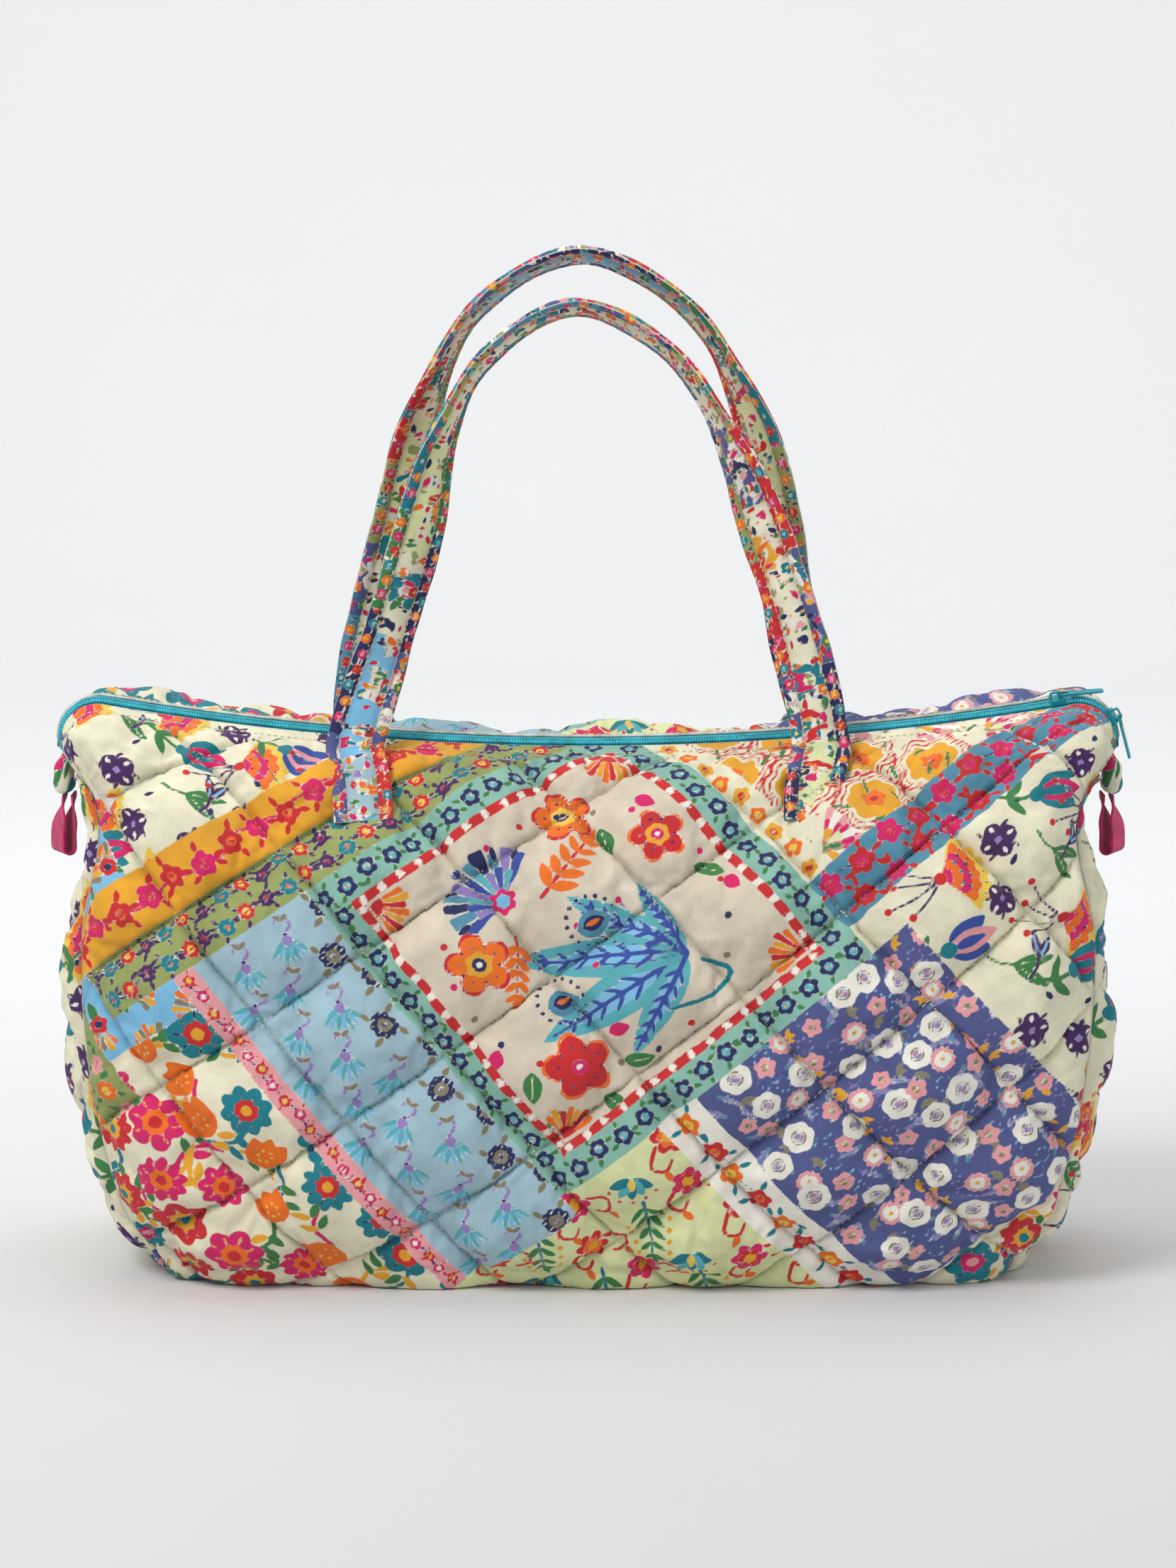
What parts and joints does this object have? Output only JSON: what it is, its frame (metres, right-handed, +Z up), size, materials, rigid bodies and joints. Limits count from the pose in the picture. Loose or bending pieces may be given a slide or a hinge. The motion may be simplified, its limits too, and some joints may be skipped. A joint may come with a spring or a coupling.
{
  "type": "quilted zip-top bag",
  "caption": "Large padded, quilted zip-top bag with a sagging top zip, swinging padded straps, folded end loops and a flat base.",
  "frame": {"origin": "centre of the flat underside of the base", "axes": "+X along the zip to the right, -Y towards the front panel, +Z up"},
  "size_m": [0.5991, 0.2112, 0.5674],
  "materials": {
    "quilt_print": "quilted printed cotton",
    "strap_print": "padded printed cotton",
    "lining": "plain cotton",
    "zip_tape": "woven tape",
    "zip_coil": "nylon coil",
    "zip_metal": "enamelled",
    "webbing": "woven webbing"
  },
  "bodies": {
    "bag": {"back_panel": "quilt_print", "base_panel": "quilt_print", "end_tab_left": "quilt_print", "end_tab_right": "quilt_print", "front_panel": "quilt_print", "left_gusset": "quilt_print", "lining_back": "lining", "lining_base": "lining", "lining_front": "lining", "lining_left": "lining", "lining_right": "lining", "right_gusset": "quilt_print", "strap_back_end_left": "strap_print", "strap_back_end_right": "strap_print", "strap_front_end_left": "strap_print", "strap_front_end_right": "strap_print", "zip_coil_back": "zip_coil", "zip_coil_front": "zip_coil", "zip_tape_back": "zip_tape", "zip_tape_front": "zip_tape"},
    "slider_left": {"zip_slider_left": "zip_metal"},
    "slider_right": {"zip_slider_right": "zip_metal"},
    "pull_left": {"zip_pull_left": "zip_metal"},
    "pull_right": {"zip_pull_right": "zip_metal"},
    "strap_front": {"strap_front": "strap_print"},
    "strap_back": {"strap_back": "strap_print"},
    "end_loop_left": {"end_loop_left": "webbing"},
    "end_loop_right": {"end_loop_right": "webbing"}
  },
  "joints": [
    {"name": "strap_front_swing", "type": "hinge", "parent": "bag", "child": "strap_front", "pos_m": [0, -0.04149, 0.29531], "axis": [1, 0, 0], "range_deg": [-6, 100]},
    {"name": "strap_back_swing", "type": "hinge", "parent": "bag", "child": "strap_back", "pos_m": [0, 0.02385, 0.30671], "axis": [-1, 0, 0], "range_deg": [-6, 100]},
    {"name": "slider_left_travel", "type": "hinge", "parent": "bag", "child": "slider_left", "pos_m": [0, -0.01, 1.862], "axis": [0, 1, 0], "range_deg": [0, 18.6]},
    {"name": "slider_right_travel", "type": "hinge", "parent": "bag", "child": "slider_right", "pos_m": [0.27141, -0.01, 0.29534], "axis": [0, 1, 0], "range_deg": [-14, 10]},
    {"name": "pull_left_swing", "type": "hinge", "parent": "slider_left", "child": "pull_left", "pos_m": [0.26039, -0.0116, 0.31982], "axis": [-0.0429, 0.9659, 0.2552], "range_deg": [-150, 0]},
    {"name": "pull_right_swing", "type": "hinge", "parent": "slider_right", "child": "pull_right", "pos_m": [0.2942, -0.0116, 0.30792], "axis": [0.2195, 0.9659, 0.1371], "range_deg": [-145, 0]},
    {"name": "end_loop_left_swing", "type": "hinge", "parent": "bag", "child": "end_loop_left", "pos_m": [-0.28827, -0.01, 0.2645], "axis": [0, 1, 0], "range_deg": [-25, 40]},
    {"name": "end_loop_right_swing", "type": "hinge", "parent": "bag", "child": "end_loop_right", "pos_m": [0.28827, -0.01, 0.2645], "axis": [0, -1, 0], "range_deg": [-25, 40]}
  ]
}
